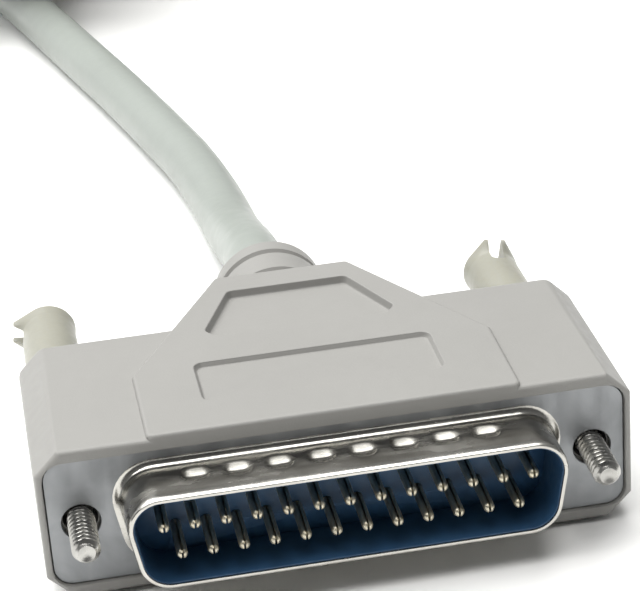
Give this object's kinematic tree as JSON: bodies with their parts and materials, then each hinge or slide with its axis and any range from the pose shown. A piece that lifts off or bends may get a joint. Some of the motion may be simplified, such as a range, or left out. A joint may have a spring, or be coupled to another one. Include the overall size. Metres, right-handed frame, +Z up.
{
  "type": "d-sub connector",
  "caption": "Moulded male D-sub cable connector with a dimpled metal shell, captive thumbscrews, a stepped bend relief and a coiled cable with the same connector at its far end.",
  "frame": {"origin": "centre of the near connector's footprint, on the surface it rests on", "axes": "+X across the contacts, -Y the way the plug faces, +Y the way the cable leaves, +Z up, with the wide contact row on top"},
  "size_m": [0.0936, 0.2646, 0.0295],
  "materials": {
    "hood_plastic": "satin, fine moulded grain",
    "inner_plastic": "plain",
    "plated_shell": "bright tin plate",
    "rear_shell": "tin plate",
    "insulator": "deep blue, slightly glossy",
    "contact": "gold flash",
    "wire": "mixed wire colours",
    "screw": "nickel plate, bright thread",
    "knob": "ivory, smooth",
    "cable_jacket": "smooth pale grey-green jacket",
    "tie": "woven strap"
  },
  "bodies": {
    "connector": {"hood": "hood_plastic", "inner_mould": "inner_plastic", "front_shell": "plated_shell", "rear_shell": "rear_shell", "front_insulator": "insulator", "rear_insulator": "insulator", "pin_01": "contact", "pin_02": "contact", "pin_03": "contact", "pin_04": "contact", "pin_05": "contact", "pin_06": "contact", "pin_07": "contact", "pin_08": "contact", "pin_09": "contact", "pin_10": "contact", "pin_11": "contact", "pin_12": "contact", "pin_13": "contact", "pin_14": "contact", "pin_15": "contact", "pin_16": "contact", "pin_17": "contact", "pin_18": "contact", "pin_19": "contact", "pin_20": "contact", "pin_21": "contact", "pin_22": "contact", "pin_23": "contact", "pin_24": "contact", "pin_25": "contact", "wires_upper": "wire", "wires_lower": "wire", "cable": "cable_jacket", "cable_coil": "cable_jacket", "cable_tail": "cable_jacket", "cable_tie": "tie", "far_hood": "hood_plastic", "far_inner_mould": "inner_plastic", "far_front_shell": "plated_shell", "far_rear_shell": "rear_shell", "far_front_insulator": "insulator", "far_rear_insulator": "insulator", "far_pins": "contact", "far_wires": "wire"},
    "thumbscrew_left": {"screw_left": "screw", "knob_left": "knob"},
    "thumbscrew_right": {"screw_right": "screw", "knob_right": "knob"},
    "far_thumbscrew_left": {"far_screw_left": "screw", "far_knob_left": "knob"},
    "far_thumbscrew_right": {"far_screw_right": "screw", "far_knob_right": "knob"}
  },
  "joints": [
    {"name": "thumbscrew_left_turn", "type": "hinge", "parent": "connector", "child": "thumbscrew_left", "pos_m": [-0.02352, -0.018, 0.0079], "axis": [0, 1, 0], "continuous": true},
    {"name": "thumbscrew_right_turn", "type": "hinge", "parent": "connector", "child": "thumbscrew_right", "pos_m": [0.02352, -0.018, 0.0079], "axis": [0, 1, 0], "continuous": true},
    {"name": "far_thumbscrew_left_turn", "type": "hinge", "parent": "connector", "child": "far_thumbscrew_left", "pos_m": [-0.03, 0.18152, 0.0216], "axis": [1, 0, 0], "continuous": true},
    {"name": "far_thumbscrew_right_turn", "type": "hinge", "parent": "connector", "child": "far_thumbscrew_right", "pos_m": [-0.03, 0.13448, 0.0216], "axis": [1, 0, 0], "continuous": true}
  ]
}
